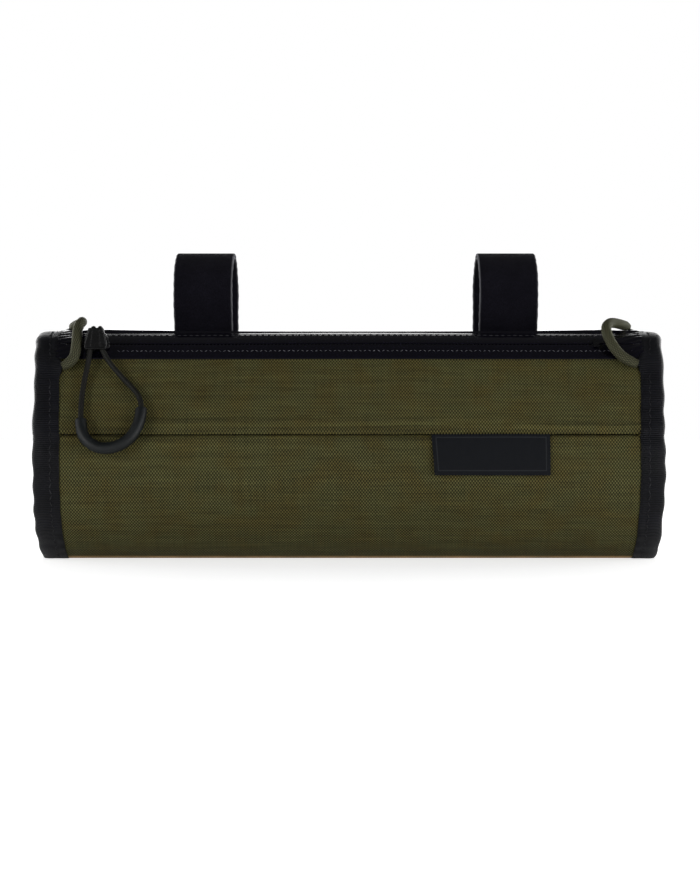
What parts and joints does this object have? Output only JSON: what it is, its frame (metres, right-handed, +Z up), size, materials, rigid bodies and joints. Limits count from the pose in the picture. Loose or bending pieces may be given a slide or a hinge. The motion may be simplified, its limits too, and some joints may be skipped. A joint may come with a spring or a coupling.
{
  "type": "handlebar roll bag",
  "caption": "Small tubular zipped bag with bound ends, cord loops and hook-and-loop straps that hang it from a handlebar or a saddle.",
  "frame": {"origin": "centre of the flat that the bag stands on", "axes": "+X along the bag to the viewer's right, -Y out of its front, +Z up through the straps"},
  "size_m": [0.256, 0.0886, 0.1304],
  "materials": {
    "olive_fabric": "coarse plain-weave nylon, matt",
    "lining_fabric": "light grey coated lining",
    "foam": "closed-cell foam sheet",
    "grosgrain": "black ribbed binding tape",
    "coated_tape": "black coated zip tape, glossy",
    "coil": "black nylon coil",
    "black_metal": "black enamelled zinc",
    "pull_cord": "black braided cord",
    "grip": "matt dark moulded grip",
    "hood": "black moulded nylon, satin",
    "webbing": "black nylon webbing",
    "thread": "black polyester thread",
    "hook_and_loop": "black brushed loop strap",
    "loop_cord": "olive braided accessory cord",
    "label": "black woven label, blank"
  },
  "bodies": {
    "bag": {"main_panel": "olive_fabric", "front_panel_ends": "olive_fabric", "foam_stiffener": "foam", "body_lining": "lining_fabric", "lining_ends": "lining_fabric", "zip_tape_front_ends": "coated_tape", "zip_tape_rear": "coated_tape", "zip_coil_front_ends": "coil", "zip_coil_rear": "coil", "zip_end_stops": "black_metal", "top_strip": "coated_tape", "rear_webbing": "webbing", "webbing_bartacks": "thread", "end_panel_left": "olive_fabric", "end_panel_right": "olive_fabric", "end_binding_left": "grosgrain", "end_binding_right": "grosgrain", "strap_band_left": "hook_and_loop", "strap_band_right": "hook_and_loop"},
    "mouth": {"front_panel": "olive_fabric", "mouth_lining": "lining_fabric", "zip_tape_front": "coated_tape", "zip_coil_front": "coil"},
    "slider": {"zip_slider": "black_metal"},
    "pull": {"zip_pull_cord": "pull_cord", "zip_pull_grip": "grip", "zip_pull_hood": "hood"},
    "label": {"label_tab": "label"},
    "left_tail": {"strap_tail_left": "hook_and_loop"},
    "right_tail": {"strap_tail_right": "hook_and_loop"},
    "left_loop": {"cord_loop_left": "loop_cord"},
    "right_loop": {"cord_loop_right": "loop_cord"}
  },
  "joints": [
    {"name": "zip_slide", "type": "slide", "parent": "bag", "child": "slider", "axis": [1, 0, 0], "range_m": [0, 0.198]},
    {"name": "pull_swing", "type": "hinge", "parent": "slider", "child": "pull", "pos_m": [-0.1045, -0.02315, 0.09324], "axis": [-1, 0, 0], "range_deg": [0, 150]},
    {"name": "mouth_open", "type": "hinge", "parent": "bag", "child": "mouth", "pos_m": [0, -0.03908, 0.052], "axis": [1, 0, 0], "range_deg": [0, 35]},
    {"name": "label_lift", "type": "hinge", "parent": "bag", "child": "label", "pos_m": [0.057, -0.04, 0.05206], "axis": [-1, 0, 0], "range_deg": [0, 100]},
    {"name": "left_tail_peel", "type": "hinge", "parent": "bag", "child": "left_tail", "pos_m": [-0.0623, 0.024, 0.12985], "axis": [-1, 0, 0], "range_deg": [0, 110]},
    {"name": "right_tail_peel", "type": "hinge", "parent": "bag", "child": "right_tail", "pos_m": [0.0673, 0.024, 0.12985], "axis": [-1, 0, 0], "range_deg": [0, 110]},
    {"name": "left_loop_flop", "type": "hinge", "parent": "bag", "child": "left_loop", "pos_m": [-0.1179, -0.0303, 0.0795], "axis": [0, 0.8786, 0.4776], "range_deg": [-45, 0]},
    {"name": "right_loop_flop", "type": "hinge", "parent": "bag", "child": "right_loop", "pos_m": [0.1179, -0.0298, 0.0804], "axis": [0, 0.8856, 0.4644], "range_deg": [0, 45]}
  ]
}
